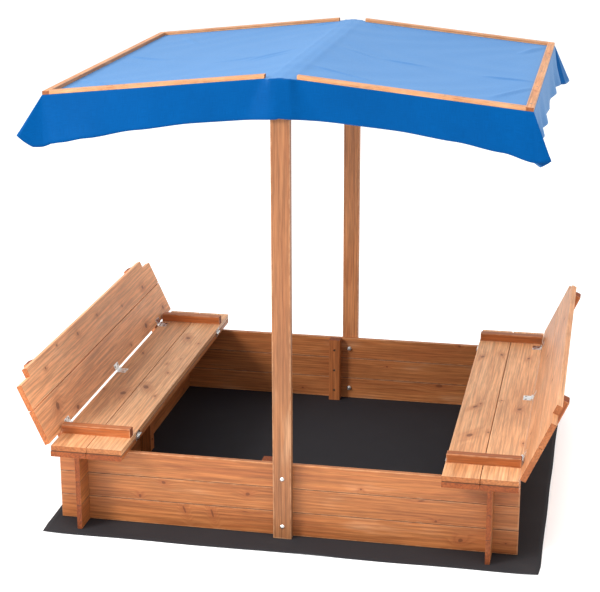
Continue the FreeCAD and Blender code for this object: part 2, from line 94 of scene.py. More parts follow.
class Tree:
    """Adds nodes to a shader tree. A value may be a number, a tuple or a socket."""

    def __init__(self, tree):
        self.tree = tree

    def node(self, kind, inputs=None, **settings):
        made = self.tree.nodes.new(kind)
        for name, value in settings.items():
            setattr(made, name, value)
        for key, value in (inputs or {}).items():
            self.feed(made.inputs[key], value)
        return made

    def feed(self, socket, value):
        if isinstance(value, bpy.types.NodeSocket):
            self.tree.links.new(value, socket)
        else:
            socket.default_value = value

    def math(self, operation, *values, clamp=False):
        made = self.node("ShaderNodeMath", operation=operation, use_clamp=clamp)
        for socket, value in zip(made.inputs, values):
            self.feed(socket, value)
        return made.outputs[0]

    def vector(self, operation, *values):
        made = self.node("ShaderNodeVectorMath", operation=operation)
        sockets = list(made.inputs)
        if operation == "SCALE":
            sockets = [made.inputs[0], made.inputs["Scale"]]
        for socket, value in zip(sockets, values):
            self.feed(socket, value)
        scalar = operation in ("LENGTH", "DOT_PRODUCT", "DISTANCE")
        return made.outputs["Value" if scalar else "Vector"]

    def noise(self, at, scale, detail=2.0, roughness=0.5):
        inputs = {"Vector": at, "Scale": scale, "Detail": detail, "Roughness": roughness}
        return self.node("ShaderNodeTexNoise", inputs).outputs["Fac"]

    def step(self, value, low, high, bottom=0.0, top=1.0):
        """Smooth step from bottom to top as the value goes from low to high."""
        made = self.node("ShaderNodeMapRange", interpolation_type="SMOOTHSTEP")
        for socket, given in zip(made.inputs, (value, low, high, bottom, top)):
            self.feed(socket, given)
        return made.outputs[0]

    def mix(self, share, first, second, blend="MIX"):
        made = self.node("ShaderNodeMix", data_type="RGBA", blend_type=blend)
        self.feed(made.inputs[0], share)
        self.feed(made.inputs[6], first)
        self.feed(made.inputs[7], second)
        return made.outputs[2]

    def use(self, group, inputs):
        made = self.node("ShaderNodeGroup", node_tree=group)
        for key, value in inputs.items():
            self.feed(made.inputs[key], value)
        return made.outputs


def new_group(name, inputs, outputs):
    """Empty shader group; returns its tree, its given values and its results."""
    tree = bpy.data.node_groups.new(name, "ShaderNodeTree")
    for label, (kind, value) in inputs.items():
        socket = tree.interface.new_socket(label, in_out="INPUT", socket_type=kind)
        socket.default_value = value
    for label, kind in outputs.items():
        tree.interface.new_socket(label, in_out="OUTPUT", socket_type=kind)
    given = tree.nodes.new("NodeGroupInput").outputs
    results = tree.nodes.new("NodeGroupOutput").inputs
    return Tree(tree), given, results


# ---- Groups for timber ----

# Rings lie round a nearly straight heart line and stray from it slowly.
HEART_TAPER = (0.02, 1, 1)
RING_WANDER = 0.024

# Narrow and wide ends of the pale band along an arris, which is rubbed wear and a painted
# highlight; the width of the painted shade along a joint, and how far it runs in under the next board.
ARRIS_WIDTH = (0.0012, 0.0052)
SEAM_WIDTH = (0.0004, 0.0016)
SEAM_DEPTH = (0.0016, 0.0040)

# Tones that the stain takes where the wood is pale, knotty or sawn, where an arris is rubbed and given
# a painted highlight, and in the painted shade of a joint.
PALE_WOOD = (1.0, 0.72, 0.46, 1)
KNOT_RIM = (0.36, 0.10, 0.03, 1)
KNOT_CORE = (0.11, 0.030, 0.010, 1)
END_GRAIN = (0.54, 0.38, 0.27, 1)
RUBBED_AND_HIGHLIT_EDGE = (0.95, 0.62, 0.36, 1)
JOINT_PAINTED_SHADE = (0.06, 0.022, 0.012, 1)


def make_growth_rings():
    """Growth rings round a heart line along X, with fibre streaks and stain blotches."""
    tree, given, results = new_group(
        "growth_rings",
        {"Place": (VECTOR, (0, 0, 0)), "Heart": (VECTOR, (0, 0, 0)),
         "Ring Width": (FLOAT, 0.006), "Swirl": (FLOAT, 0.0)},
        {"Late": FLOAT, "Fibre": FLOAT, "Blotch": FLOAT})
    seed = tree.vector("SCALE", given["Heart"], 61.0)

    def along_grain(stretch):
        return tree.vector("ADD", tree.vector("MULTIPLY", given["Place"], stretch), seed)

    offset = tree.vector("SUBTRACT", given["Place"], given["Heart"])
    radius = tree.vector("LENGTH", tree.vector("MULTIPLY", offset, HEART_TAPER))
    wander = tree.noise(along_grain((1.3, 8, 8)), 1.0, 2.0)
    radius = tree.math("MULTIPLY_ADD", wander, RING_WANDER, radius)
    radius = tree.math("ADD", radius, given["Swirl"])
    ripple = tree.noise(along_grain((9, 70, 70)), 1.0, 2.0)
    phase = tree.math("DIVIDE", radius, given["Ring Width"])
    phase = tree.math("MULTIPLY_ADD", ripple, 0.35, phase)
    ring = tree.math("FRACT", phase)
    rise = tree.step(ring, 0.25, 0.88)
    fall = tree.step(ring, 0.90, 1.0, 1.0, 0.0)
    late = tree.math("MULTIPLY", rise, fall)
    vary = tree.noise(along_grain((3, 40, 40)), 1.0, 1.0)
    strength = tree.step(vary, 0.25, 0.75, 0.45, 1.0)
    tree.feed(results["Late"], tree.math("MULTIPLY", late, strength))
    fine = tree.noise(along_grain((28, 900, 900)), 1.0, 2.0)
    broad = tree.noise(along_grain((6, 210, 210)), 1.0, 2.0)
    fibre = tree.math("MULTIPLY_ADD", fine, 0.35, tree.math("MULTIPLY", broad, 0.65))
    tree.feed(results["Fibre"], fibre)
    tree.feed(results["Blotch"], tree.noise(along_grain((3.0, 15, 15)), 1.0, 3.0, 0.6))
    return tree.tree


def make_branch_knot():
    """One knot: it adds its own swirl, dark core and warm halo to those passed in."""
    tree, given, results = new_group(
        "branch_knot",
        {"Place": (VECTOR, (0, 0, 0)), "Centre": (VECTOR, (0, 0, 0)),
         "Size": (VECTOR, (0.008, 0.006, 1)), "Turn": (VECTOR, (0, 0, 0)),
         "Swirl": (FLOAT, 0.0), "Core": (FLOAT, 0.0), "Halo": (FLOAT, 0.0)},
        {"Swirl": FLOAT, "Core": FLOAT, "Halo": FLOAT})
    own = {"Vector": given["Place"], "Location": given["Centre"],
           "Rotation": given["Turn"], "Scale": given["Size"]}
    mapped = tree.node("ShaderNodeMapping", own, vector_type="TEXTURE")
    flat = tree.vector("MULTIPLY", mapped.outputs[0], (1, 1, 0))
    rough = tree.noise(tree.vector("SCALE", given["Place"], 130.0), 1.0, 2.0)
    distance = tree.math("MULTIPLY_ADD", rough, 0.7, tree.vector("LENGTH", flat))
    core = tree.step(distance, 0.95, 1.45, 1.0, 0.0)
    tree.feed(results["Core"], tree.math("MAXIMUM", given["Core"], core))
    wide = tree.vector("LENGTH", tree.vector("MULTIPLY", flat, (0.30, 0.42, 0)))
    glow = tree.math("EXPONENT", tree.math("MULTIPLY", tree.math("POWER", wide, 2.0), -1.0))
    tree.feed(results["Halo"], tree.math("MAXIMUM", given["Halo"], glow))
    size = tree.node("ShaderNodeSeparateXYZ", {"Vector": given["Size"]}).outputs[1]
    push = tree.math("MULTIPLY", tree.math("MULTIPLY", size, 2.2), glow)
    tree.feed(results["Swirl"], tree.math("ADD", given["Swirl"], push))
    return tree.tree


def make_board_edges():
    """Masks of a board's arrises, sawn ends and joints, from its half sizes."""
    tree, given, results = new_group(
        "board_edges",
        {"Place": (VECTOR, (0, 0, 0)), "Half": (VECTOR, (1, 1, 1)),
         "Facing": (VECTOR, (0, 0, 1)), "Grain": (VECTOR, (1, 0, 0)),
         "Joint": (VECTOR, (0, 0, 0)), "Second Joint": (VECTOR, (0, 0, 0))},
        {"Arris": FLOAT, "Sawn": FLOAT, "Seam": FLOAT})
    inside = tree.vector("SUBTRACT", given["Half"], tree.vector("ABSOLUTE", given["Place"]))
    parts = tree.node("ShaderNodeSeparateXYZ", {"Vector": inside}).outputs
    low = tree.math("MINIMUM", tree.math("MINIMUM", parts[0], parts[1]), parts[2])
    high = tree.math("MAXIMUM", tree.math("MAXIMUM", parts[0], parts[1]), parts[2])
    total = tree.math("ADD", tree.math("ADD", parts[0], parts[1]), parts[2])
    middle = tree.math("SUBTRACT", total, tree.math("ADD", low, high))
    chatter = tree.noise(tree.vector("SCALE", given["Place"], 55.0), 1.0, 3.0)
    width = tree.step(chatter, 0.3, 0.75, *ARRIS_WIDTH)
    near = tree.math("SUBTRACT", 1.0, tree.math("DIVIDE", middle, width), clamp=True)
    tree.feed(results["Arris"], near)
    facing = tree.math("ABSOLUTE", tree.vector("DOT_PRODUCT", given["Facing"], given["Grain"]))
    tree.feed(results["Sawn"], tree.step(facing, 0.72, 0.9))
    # Seam marks where painted shade goes: a thin band along each joint with the next board.
    seams = []
    for label in ("Joint", "Second Joint"):
        reach = tree.vector("DOT_PRODUCT", given["Half"], tree.vector("ABSOLUTE", given[label]))
        gone = tree.vector("DOT_PRODUCT", given["Place"], given[label])
        left = tree.math("SUBTRACT", reach, gone)
        dark = tree.step(left, *SEAM_WIDTH, 1.0, 0.0)
        seams.append(tree.math("MULTIPLY", dark, tree.vector("LENGTH", given[label])))
    border = tree.step(middle, *SEAM_DEPTH, 1.0, 0.0)
    tree.feed(results["Seam"], tree.math("MULTIPLY", border, tree.math("MAXIMUM", *seams)))
    return tree.tree


def make_timber_stain():
    """Colour, roughness and relief of stained softwood from its figure and wear, with a painted
    highlight on its arrises and painted shade in its joints.
    """
    tree, given, results = new_group(
        "timber_stain",
        {"Late": (FLOAT, 0), "Fibre": (FLOAT, 0.5), "Blotch": (FLOAT, 0.5),
         "Core": (FLOAT, 0), "Halo": (FLOAT, 0), "Arris": (FLOAT, 0), "Sawn": (FLOAT, 0),
         "Seam": (FLOAT, 0),
         "Early Colour": (COLOR, (0.6, 0.3, 0.1, 1)), "Late Colour": (COLOR, (0.4, 0.1, 0.03, 1)),
         "Contrast": (FLOAT, 0.6)},
        {"Colour": COLOR, "Roughness": FLOAT, "Relief": FLOAT})
    early, late_tone = given["Early Colour"], given["Late Colour"]
    colour = tree.mix(tree.math("MULTIPLY", given["Late"], given["Contrast"]), early, late_tone)
    cloudy = tree.step(given["Blotch"], 0.42, 0.72, 0.0, 0.42)
    colour = tree.mix(cloudy, colour, late_tone)
    pale = tree.step(given["Blotch"], 0.46, 0.25, 0.0, 0.30)
    colour = tree.mix(pale, colour, tree.mix(0.5, early, PALE_WOOD))
    streak = tree.step(given["Fibre"], 0.36, 0.64, 0.74, 1.20)
    colour = tree.mix(1.0, colour, streak, "MULTIPLY")
    halo = tree.math("MULTIPLY", given["Halo"], 0.62)
    colour = tree.mix(halo, colour, tree.mix(0.5, late_tone, KNOT_RIM))
    colour = tree.mix(tree.math("MULTIPLY", given["Core"], 0.68), colour, KNOT_CORE)
    sawn = tree.mix(1.0, colour, END_GRAIN, "MULTIPLY")
    colour = tree.mix(given["Sawn"], colour, sawn)
    # The pale band along each arris is rubbed wear and a painted highlight.
    unsawn = tree.math("SUBTRACT", 0.55, given["Sawn"])
    worn_and_highlit = tree.math("MULTIPLY", given["Arris"], unsawn, clamp=True)
    colour = tree.mix(worn_and_highlit, colour, tree.mix(0.4, early, RUBBED_AND_HIGHLIT_EDGE))
    # Painted shade in the joints between boards.
    colour = tree.mix(tree.math("MULTIPLY", given["Seam"], 0.8), colour, JOINT_PAINTED_SHADE)
    tree.feed(results["Colour"], colour)
    rough = tree.math("MULTIPLY_ADD", given["Fibre"], 0.16, 0.44)
    rough = tree.math("MULTIPLY_ADD", given["Late"], -0.08, rough)
    rough = tree.math("MULTIPLY_ADD", given["Sawn"], 0.25, rough)
    tree.feed(results["Roughness"], rough)
    relief = tree.math("MULTIPLY_ADD", given["Late"], 0.5, tree.math("MULTIPLY", given["Fibre"], 0.8))
    relief = tree.math("MULTIPLY_ADD", given["Core"], -0.5, relief)
    tree.feed(results["Relief"], relief)
    return tree.tree


# ---- Groups for cloth and metal ----

def make_plain_weave():
    """Over-and-under threads from a cloth's own flat coordinates."""
    tree, given, results = new_group(
        "plain_weave", {"Flat": (VECTOR, (0, 0, 0)), "Pitch": (FLOAT, 0.0008)},
        {"Height": FLOAT, "Slub": FLOAT})
    threads = tree.vector("SCALE", given["Flat"], tree.math("DIVIDE", 1.0, given["Pitch"]))
    cells = tree.node("ShaderNodeSeparateXYZ", {"Vector": threads}).outputs
    ridges = [tree.math("ABSOLUTE", tree.math("SINE", tree.math("MULTIPLY", cell, math.pi)))
              for cell in cells[:2]]
    steps = tree.math("ADD", tree.math("FLOOR", cells[0]), tree.math("FLOOR", cells[1]))
    parity = tree.math("FLOORED_MODULO", steps, 2.0)
    swap = tree.math("MULTIPLY", parity, tree.math("SUBTRACT", ridges[0], ridges[1]))
    tree.feed(results["Height"], tree.math("ADD", ridges[1], swap))
    warp = tree.noise(tree.vector("MULTIPLY", given["Flat"], (40, 1400, 1)), 1.0, 2.0)
    weft = tree.noise(tree.vector("MULTIPLY", given["Flat"], (1400, 40, 1)), 1.0, 2.0)
    tree.feed(results["Slub"], tree.math("MULTIPLY", tree.math("ADD", warp, weft), 0.5))
    return tree.tree


def make_plated_wear():
    """Spangle, fine scratches and dull patches of bright zinc plate."""
    tree, given, results = new_group(
        "plated_wear", {"Place": (VECTOR, (0, 0, 0))},
        {"Shade": FLOAT, "Roughness": FLOAT, "Relief": FLOAT})
    spangle = tree.node("ShaderNodeTexVoronoi", {"Vector": given["Place"], "Scale": 420.0})
    colour = {"Color": spangle.outputs["Color"]}
    grain = tree.node("ShaderNodeSeparateColor", colour).outputs[0]
    scratch = tree.noise(tree.vector("MULTIPLY", given["Place"], (300, 2600, 300)), 1.0, 2.0)
    dull = tree.noise(tree.vector("SCALE", given["Place"], 70.0), 1.0, 3.0)
    shade = tree.step(dull, 0.3, 0.7, 0.66, 0.9)
    tree.feed(results["Shade"], tree.math("MULTIPLY_ADD", grain, 0.2, shade))
    rough = tree.step(dull, 0.35, 0.75, 0.16, 0.36)
    tree.feed(results["Roughness"], tree.math("MULTIPLY_ADD", scratch, 0.16, rough))
    tree.feed(results["Relief"], scratch)
    return tree.tree


GROWTH_RINGS = make_growth_rings()
BRANCH_KNOT = make_branch_knot()
BOARD_EDGES = make_board_edges()
TIMBER_STAIN = make_timber_stain()
PLAIN_WEAVE = make_plain_weave()
PLATED_WEAR = make_plated_wear()


def new_material(name, viewport):
    """Material with a lone Principled shader; returns it, its tree and the shader."""
    made = bpy.data.materials.new(name)
    made.use_nodes = True
    made.diffuse_color = (*viewport, 1.0)
    tree = Tree(made.node_tree)
    shader = next(n for n in made.node_tree.nodes if n.type == "BSDF_PRINCIPLED")
    return made, tree, shader


def relief(tree, shader, height, strength, depth):
    """Feeds a height to the shader's normal as relief of a given depth."""
    bump = tree.node("ShaderNodeBump", {"Height": height, "Strength": strength, "Distance": depth})
    tree.feed(shader.inputs["Normal"], bump.outputs[0])


# ---- Timber ----

# Early and late wood colours and the strength of the figure for each finish. The bench and back stains
# are paler than the wall stain to paint in the stronger light on the upward-facing seats and backs.
STAINS = {
    "wall": ((0.430, 0.150, 0.044), (0.262, 0.068, 0.018), 0.55),
    "bench": ((0.760, 0.390, 0.186), (0.510, 0.185, 0.060), 0.50),
    "back": ((0.735, 0.345, 0.158), (0.480, 0.160, 0.050), 0.50),
    "cleat": ((0.410, 0.114, 0.025), (0.270, 0.062, 0.013), 0.42),
    "post": ((0.450, 0.185, 0.072), (0.300, 0.096, 0.032), 0.55),
    "canopy": ((0.540, 0.250, 0.110), (0.330, 0.110, 0.040), 0.60),
}


# Half sizes of a piece whose arrises stay unrubbed and without painted highlight, and whose joints get
# no painted shade.
ENDLESS = (9, 9, 9)


def points_of(node):
    """Points of a CAD node's mesh."""
    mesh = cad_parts[node].data
    places = np.empty(len(mesh.vertices) * 3)
    mesh.vertices.foreach_get("co", places)
    return places.reshape(-1, 3)


def board_frame(node, along, across, fold):
    """Middle, half sizes and axes of a board; folded axes take the right-hand copy."""
    axes = np.array((along, across, along.cross(across))).T
    places = points_of(node)
    for axis in fold:
        places[:, axis] = abs(places[:, axis])
    local = places @ axes
    low, high = local.min(0), local.max(0)
    return axes @ ((low + high) / 2), (high - low) / 2, Matrix(axes.tolist())


KNOTS_PER_METRE = 2.0


def random_knots(draw, half):
    """A few small knots for a board, away from its arrises."""
    knots = []
    for _ in range(max(1, round(2 * half[0] * KNOTS_PER_METRE))):
        width = draw.uniform(0.0032, 0.0062)
        along = draw.uniform(-0.95, 0.95) * half[0]
        across = draw.uniform(-0.7, 0.7) * half[1]
        length = width * draw.uniform(0.9, 1.7)
        knots.append((along, across, length, width, draw.uniform(-0.3, 0.3)))
    return knots


def folded_place(tree, place, fold):
    """The place with the sign of each folded axis dropped."""
    mask = [1.0 if axis in fold else 0.0 for axis in range(3)]
    kept = tree.vector("MULTIPLY", place, [1.0 - share for share in mask])
    folded = tree.vector("MULTIPLY", tree.vector("ABSOLUTE", place), mask)
    return tree.vector("ADD", kept, folded)


def timber(node, along, across, stain, knots=None, fold=(), ring=0.0065, wear=True,
           joints=(), shade=1.0):
    """Gives one CAD board its own stained timber, figured from that board's middle."""
    draw = random.Random(node)
    middle, half, axes = board_frame(node, along, across, fold)
    made, tree, shader = new_material(f"{stain}_timber_{node}", STAINS[stain][0])
    spot = tree.node("ShaderNodeTexCoord").outputs
    place = spot["Object"]
    if fold:
        place = folded_place(tree, place, fold)
    own = {"Vector": place, "Location": middle, "Rotation": axes.to_euler()}
    place = tree.node("ShaderNodeMapping", own, vector_type="TEXTURE").outputs[0]
    swirl, core, halo = 0.0, 0.0, 0.0
    if knots is None:
        knots = random_knots(draw, half)
    for x, y, length, width, turn in knots:
        grown = tree.use(BRANCH_KNOT, {
            "Place": place, "Centre": (x, y, 0), "Size": (length, width, 1),
            "Turn": (0, 0, turn), "Swirl": swirl, "Core": core, "Halo": halo})
        swirl, core, halo = grown["Swirl"], grown["Core"], grown["Halo"]
    heart = (0, draw.uniform(-1.6, 1.6) * half[1], -half[2] - draw.uniform(0.012, 0.055))
    figure = tree.use(GROWTH_RINGS, {"Place": place, "Heart": heart, "Swirl": swirl,
                                     "Ring Width": ring * draw.uniform(0.8, 1.3)})
    # wear switches on the rubbed arrises with their painted highlight, and the painted shade in the
    # joints.
    edges = tree.use(BOARD_EDGES, {
        "Place": place, "Half": half if wear else ENDLESS,
        "Facing": spot["Normal"], "Grain": along,
        **dict(zip(("Joint", "Second Joint"), joints))})
    # shade scales the stain: on the posts, backs and seat cleats it is painted light and shade for how
    # light falls on them. The random draw is the board's own tone.
    tone = shade * draw.uniform(0.94, 1.05)
    warmth = draw.uniform(0.96, 1.04)
    early, late, contrast = STAINS[stain]
    shades = [(colour[0] * tone, colour[1] * tone * warmth, colour[2] * tone * warmth ** 2, 1)
              for colour in (early, late)]
    finish = tree.use(TIMBER_STAIN, {
        "Late": figure["Late"], "Fibre": figure["Fibre"], "Blotch": figure["Blotch"],
        "Core": core, "Halo": halo, "Arris": edges["Arris"], "Sawn": edges["Sawn"],
        "Seam": edges["Seam"],
        "Early Colour": shades[0], "Late Colour": shades[1], "Contrast": contrast})
    tree.feed(shader.inputs["Base Color"], finish["Colour"])
    tree.feed(shader.inputs["Roughness"], finish["Roughness"])
    relief(tree, shader, finish["Relief"], 0.35, 0.0006)
    shader.inputs["Specular IOR Level"].default_value = 0.38
    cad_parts[node].data.materials[0] = made


# Knots chosen board by board: along, across, length, width, turn. Across runs up a
# wall or a back, and outwards on a seat.
KNOTS = {
    "front_wall_board_1": [(-0.265, 0.016, 0.003, 0.012, 0.35), (-0.190, 0.012, 0.003, 0.013, 0.25),
                           (-0.103, 0.024, 0.012, 0.0012, -0.1), (0.456, -0.006, 0.007, 0.006, 0.2),
                           (0.570, -0.004, 0.004, 0.002, 0.0)],
    "front_wall_board_2": [(-0.319, 0.021, 0.006, 0.0045, -0.3), (-0.095, 0.008, 0.006, 0.0055, 0.3),
                           (-0.384, -0.022, 0.004, 0.005, 0.0), (0.392, -0.025, 0.004, 0.0035, 0.0),
                           (0.355, 0.028, 0.012, 0.0025, 0.15)],
    "front_wall_board_3": [(0.200, -0.020, 0.003, 0.003, 0.0)],
    "rear_wall_board_1": [(0.286, 0.026, 0.013, 0.006, 0.0), (-0.15, -0.01, 0.004, 0.003, 0.0)],
    "rear_wall_board_2": [(0.12, 0.012, 0.004, 0.003, 0.0)],
    "rear_wall_board_3": [(0.346, 0.029, 0.005, 0.004, 0.0), (-0.21, 0.0, 0.004, 0.003, 0.0)],
    "left_seat_inner_board": [(0.006, -0.006, 0.006, 0.0035, 0.2), (0.274, -0.027, 0.004, 0.0035, 0.0),
                              (0.319, 0.018, 0.012, 0.007, 0.3), (-0.181, -0.022, 0.005, 0.004, 0.2),
                              (-0.117, 0.023, 0.016, 0.008, 0.5), (0.080, 0.018, 0.004, 0.002, 0.0),
                              (0.130, -0.010, 0.003, 0.002, 0.0)],
    "left_seat_outer_board": [(0.159, 0.019, 0.008, 0.003, 0.4), (-0.155, 0.039, 0.004, 0.003, 0.0),
                              (-0.175, -0.023, 0.014, 0.009, 0.2), (-0.005, 0.039, 0.006, 0.003, 0.0)],
    "right_seat_inner_board": [(0.320, -0.025, 0.011, 0.005, 0.3), (0.347, 0.030, 0.009, 0.004, -0.2),
                               (-0.091, -0.009, 0.011, 0.005, 0.5), (-0.067, 0.004, 0.006, 0.003, 0.0),
                               (-0.298, -0.004, 0.014, 0.008, 0.4), (-0.270, 0.042, 0.006, 0.003, 0.0)],
    "right_seat_outer_board": [(0.329, 0.015, 0.009, 0.004, 0.2), (-0.089, 0.016, 0.009, 0.006, 0.3),
                               (-0.032, -0.037, 0.003, 0.003, 0.0), (-0.328, 0.041, 0.006, 0.003, 0.0)],
    "left_back_lower_board": [(0.328, -0.022, 0.011, 0.008, 0.3), (0.517, -0.021, 0.007, 0.006, 0.0),
                              (-0.338, -0.037, 0.010, 0.006, 0.0), (-0.018, -0.046, 0.004, 0.003, 0.0),
                              (0.162, -0.029, 0.004, 0.003, 0.0), (-0.442, 0.009, 0.013, 0.010, 0.6)],
    "left_back_upper_board": [(0.032, 0.018, 0.0045, 0.0045, 0.0), (-0.139, 0.018, 0.0055, 0.0055, 0.0),
                              (0.226, -0.017, 0.0045, 0.004, 0.0), (0.434, -0.021, 0.007, 0.006, 0.0),
                              (-0.409, 0.011, 0.005, 0.004, 0.0), (-0.290, 0.036, 0.003, 0.003, 0.0)],
    "right_back_upper_board": [(-0.185, -0.013, 0.005, 0.004, 0.0), (0.250, 0.020, 0.004, 0.004, 0.0)],
    "right_back_lower_board": [(0.180, 0.016, 0.005, 0.004, 0.0), (-0.330, -0.020, 0.005, 0.004, 0.0)],
}


# Width of a growth ring in the finer and coarser pieces.
POST_RING = 0.0042
STRIP_RING = 0.005
BENCH_RING = 0.008


def finish_timber():
    """Every wooden CAD node gets its own timber, with the grain along the piece."""
    above, below = Y_AXIS, -Y_AXIS
    for course, joints in ((1, (above,)), (2, (above, below)), (3, (below,))):
        for end in END_WAY:
            name = f"{end}_wall_board_{course}"
            timber(name, X_AXIS, Z_AXIS, "wall", KNOTS.get(name), joints=joints)
        for side in SIDE_WAY:
            timber(f"{side}_wall_board_{course}", Y_AXIS, Z_AXIS, "wall", joints=joints)
    timber("wall_battens", Z_AXIS, X_AXIS, "wall", (), wear=False)
    # Painted light: the front post is made darker and the rear post lighter, for how light falls on
    # them.
    timber("front_post", Z_AXIS, X_AXIS, "post", (), ring=POST_RING, shade=0.72)
    timber("rear_post", Z_AXIS, X_AXIS, "post", (), ring=POST_RING, shade=1.20)
    for side, sign in SIDE_WAY.items():
        outward = sign * X_AXIS
        up_back = Vector((sign * math.sin(BACK_LEAN), 0, math.cos(BACK_LEAN)))
        skyward = Z_AXIS * Y_AXIS.cross(outward).z
        for place in ("inner", "outer"):
            name = f"{side}_base_{place}_board"
            timber(name, Y_AXIS, outward, "wall", joints=(skyward,), shade=1.15)
            name = f"{side}_seat_{place}_board"
            timber(name, Y_AXIS, outward, "bench", KNOTS[name], ring=BENCH_RING,
                   joints=(-skyward,))
        # Painted light on the backs: the left back is made lighter and the right back darker.
        for place in ("lower", "upper"):
            name = f"{side}_back_{place}_board"
            timber(name, Y_AXIS, up_back, "back", KNOTS[name], ring=BENCH_RING,
                   shade=1.02 - 0.13 * sign)
        # Painted light on the seat cleats: the left ones are made lighter and the right ones darker.
        timber(f"{side}_seat_cleats", X_AXIS, Y_AXIS, "cleat", (), fold=(1,),
               shade=0.90 - 0.06 * sign)
        timber(f"{side}_back_cleats", up_back, Y_AXIS, "cleat", (), fold=(1,))
        downhill = Vector((math.cos(ROOF_PITCH), 0, -math.sin(ROOF_PITCH) * sign))
        for end in END_WAY:
            timber(f"{end}_{side}_rafter", downhill, Y_AXIS, "canopy")
        timber(f"{side}_eave_bar", Y_AXIS, X_AXIS, "canopy")
    timber("ridge_beam", Y_AXIS, X_AXIS, "canopy")
    slope = Vector((math.cos(ROOF_PITCH), 0, -math.sin(ROOF_PITCH)))
    small = [(0.11, 0.002, 0.0035, 0.003, 0.0), (0.125, -0.003, 0.0035, 0.003, 0.0)]
    timber("canopy_sloped_strips", slope, Y_AXIS, "canopy", small, fold=(0, 1), ring=STRIP_RING)
    timber("canopy_eave_strips", Y_AXIS, X_AXIS, "canopy", fold=(0,), ring=STRIP_RING)


# ---- Metal ----

def zinc_plate(name, tint):
    """Zinc-plated steel of a given tint."""
    made, tree, shader = new_material(name, tint)
    spot = tree.node("ShaderNodeTexCoord").outputs["Object"]
    wear = tree.use(PLATED_WEAR, {"Place": spot})
    tone = tree.mix(1.0, (*tint, 1), wear["Shade"], "MULTIPLY")
    tree.feed(shader.inputs["Base Color"], tone)
    tree.feed(shader.inputs["Roughness"], wear["Roughness"])
    shader.inputs["Metallic"].default_value = 1.0
    relief(tree, shader, wear["Relief"], 0.15, 0.0002)
    return made


# Countersunk screw: radii and depths of its head and neck, and its cross recess.
SCREW_TURNS = 24
SCREW_HEAD = 0.0035
SCREW_RIM = 0.0002
SCREW_NECK = 0.00175
SCREW_SINK = 0.0022
SCREW_POINT = 0.003
POINT_RADIUS = 0.0003
RECESS_ARM = 0.0021
RECESS_HALF = 0.00048
RECESS_DEPTH = 0.0016
RECESS_TAPER = 0.55
FEWEST_POINTS = 8


def loose_parts(node):
    """Points of each separate solid in a CAD node."""
    source = bmesh.new()
    source.from_mesh(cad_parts[node].data)
    bmesh.ops.remove_doubles(source, verts=source.verts, dist=NEAR)
    seen, parts = set(), []
    for start in source.verts:
        if start in seen:
            continue
        island, waiting = [], [start]
        seen.add(start)
        while waiting:
            vertex = waiting.pop()
            island.append(vertex.co.copy())
            for edge in vertex.link_edges:
                other = edge.other_vert(vertex)
                if other not in seen:
                    seen.add(other)
                    waiting.append(other)
        parts.append(np.array(island))
    source.free()
    return parts


def screw_axes(node):
    """Head centre, direction into the wood and length of every screw in a CAD node."""
    found = []
    for cloud in loose_parts(node):
        if len(cloud) < FEWEST_POINTS:
            continue
        middle = cloud.mean(0)
        axis = np.linalg.eigh((cloud - middle).T @ (cloud - middle))[1][:, -1]
        run = (cloud - middle) @ axis
        spread = np.linalg.norm(cloud - middle - np.outer(run, axis), axis=1)
        if run[spread.argmax()] > 0:
            axis, run = -axis, -run
        head = middle + axis * run.min()
        found.append((head, axis, run.max() - run.min()))
    return found


def screw_mesh():
    """Countersunk screw pointing down, 1 unit long below its cone, with a cross recess."""
    made = bmesh.new()
    outline = ((SCREW_HEAD, 0.0), (SCREW_HEAD, -SCREW_RIM), (SCREW_NECK, -SCREW_SINK),
               (SCREW_NECK, -1.0), (POINT_RADIUS, -1.0 - SCREW_POINT))
    angles = [step * math.tau / SCREW_TURNS for step in range(SCREW_TURNS)]
    rings = [[made.verts.new((radius * math.cos(angle), radius * math.sin(angle), depth))
              for angle in angles]
             for radius, depth in outline]
    for upper, lower in zip(rings, rings[1:]):
        for step in range(SCREW_TURNS):
            other = (step + 1) % SCREW_TURNS
            made.faces.new((upper[step], lower[step], lower[other], upper[other]))
    made.faces.new(rings[-1][::-1])
    corner = ((RECESS_ARM, -RECESS_HALF), (RECESS_ARM, RECESS_HALF), (RECESS_HALF, RECESS_HALF))
    plus = []
    for cos, sin in ((1, 0), (0, 1), (-1, 0), (0, -1)):
        plus.extend((x * cos - y * sin, x * sin + y * cos) for x, y in corner)
    mouth = [made.verts.new((x, y, 0.0)) for x, y in plus]
    floor = [made.verts.new((x * RECESS_TAPER, y * RECESS_TAPER, -RECESS_DEPTH))
             for x, y in plus]
    for step in range(len(plus)):
        other = (step + 1) % len(plus)
        made.faces.new((mouth[step], mouth[other], floor[other], floor[step]))
        rim = [rings[0][(2 * step + extra) % SCREW_TURNS] for extra in range(3)]
        made.faces.new((mouth[step], *rim, mouth[other]))
    made.faces.new(floor)
    bmesh.ops.recalc_face_normals(made, faces=made.faces)
    settle = Matrix.Rotation(-math.tau / SCREW_TURNS, 3, "Z")
    bmesh.ops.rotate(made, verts=made.verts, matrix=settle)
    mesh = bpy.data.meshes.new("screw_pattern")
    made.to_mesh(mesh)
    made.free()
    return mesh


